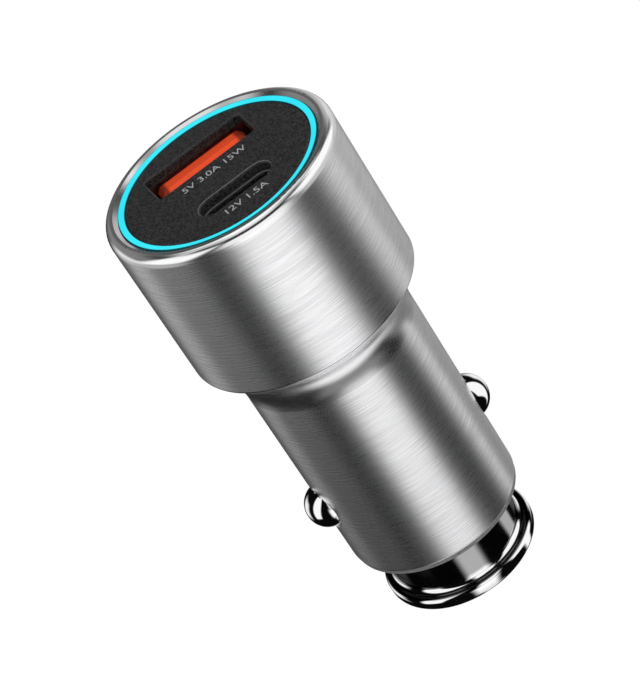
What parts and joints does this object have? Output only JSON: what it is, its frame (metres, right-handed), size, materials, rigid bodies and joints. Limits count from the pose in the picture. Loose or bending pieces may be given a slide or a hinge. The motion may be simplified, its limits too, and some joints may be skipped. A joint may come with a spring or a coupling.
{
  "type": "car usb charger plug",
  "caption": "Car charger plug: flared brushed-metal head with a lit ring round a dark face and its USB sockets, sprung side contacts on the barrel, and a sprung tip in a chromed ring.",
  "frame": {"origin": "on the plug's axis, at the height where the straight barrel meets the flare of the head", "axes": "+Z along the axis from the tip towards the sockets; X along the sockets' long sides and through both side contacts; +Y towards the larger socket"},
  "size_m": [0.0268, 0.027, 0.0644],
  "materials": {
    "shell_metal": "brushed around the axis, clear lacquer",
    "ring_light": "clear acrylic lit from below, cyan",
    "face_black": "fine matte texture",
    "socket_steel": "folded, nickel plated",
    "tongue_orange": "moulded, satin",
    "tongue_black": "moulded, satin",
    "contact_gold": "gold flash",
    "board_green": "solder mask, satin",
    "lamp_white": "clear resin",
    "ferrite": "sintered, matte",
    "can_aluminium": "drawn, bright",
    "chip_black": "moulded, matte",
    "fuse_body": "glazed",
    "passive_brown": "satin",
    "core_black": "moulded, satin",
    "contact_nickel": "bright nickel",
    "spring_steel": "drawn wire",
    "nose_grey": "moulded, satin",
    "terminal_brass": "stamped",
    "ring_chrome": "polished chrome"
  },
  "bodies": {
    "charger_body": {"outer_shell": "shell_metal", "light_ring": "ring_light", "face_plate": "face_black", "usb_a_shell": "socket_steel", "usb_a_insulator": "tongue_orange", "usb_a_contacts": "contact_gold", "usb_c_shell": "socket_steel", "usb_c_insulator": "tongue_black", "usb_c_contacts": "contact_gold", "port_board": "board_green", "ring_lamps": "lamp_white", "main_board": "board_green", "power_inductor": "ferrite", "input_capacitor": "can_aluminium", "output_capacitor": "can_aluminium", "converter_chip": "chip_black", "charge_controller": "chip_black", "input_fuse": "fuse_body", "chip_passives": "passive_brown", "inner_core": "core_black", "side_spring_right": "spring_steel", "side_spring_left": "spring_steel", "nose_insulator": "nose_grey", "positive_terminal": "terminal_brass", "centre_spring": "spring_steel", "tip_ring": "ring_chrome"},
    "side_contact_right": {"side_contact_right": "contact_nickel"},
    "side_contact_left": {"side_contact_left": "contact_nickel"},
    "centre_contact": {"centre_contact": "contact_nickel"}
  },
  "joints": [
    {"name": "side_contact_right_slide", "type": "slide", "parent": "charger_body", "child": "side_contact_right", "axis": [-1, 0, 0], "range_m": [0, 0.002], "stiffness_N_per_m": 1000, "springref_m": -0.0003, "deforming": ["side_spring_right"]},
    {"name": "side_contact_left_slide", "type": "slide", "parent": "charger_body", "child": "side_contact_left", "axis": [1, 0, 0], "range_m": [0, 0.002], "stiffness_N_per_m": 1000, "springref_m": -0.0003, "deforming": ["side_spring_left"]},
    {"name": "centre_contact_slide", "type": "slide", "parent": "charger_body", "child": "centre_contact", "axis": [0, 0, 1], "range_m": [0, 0.0035], "stiffness_N_per_m": 1500, "springref_m": -0.0003, "deforming": ["centre_spring"]}
  ]
}
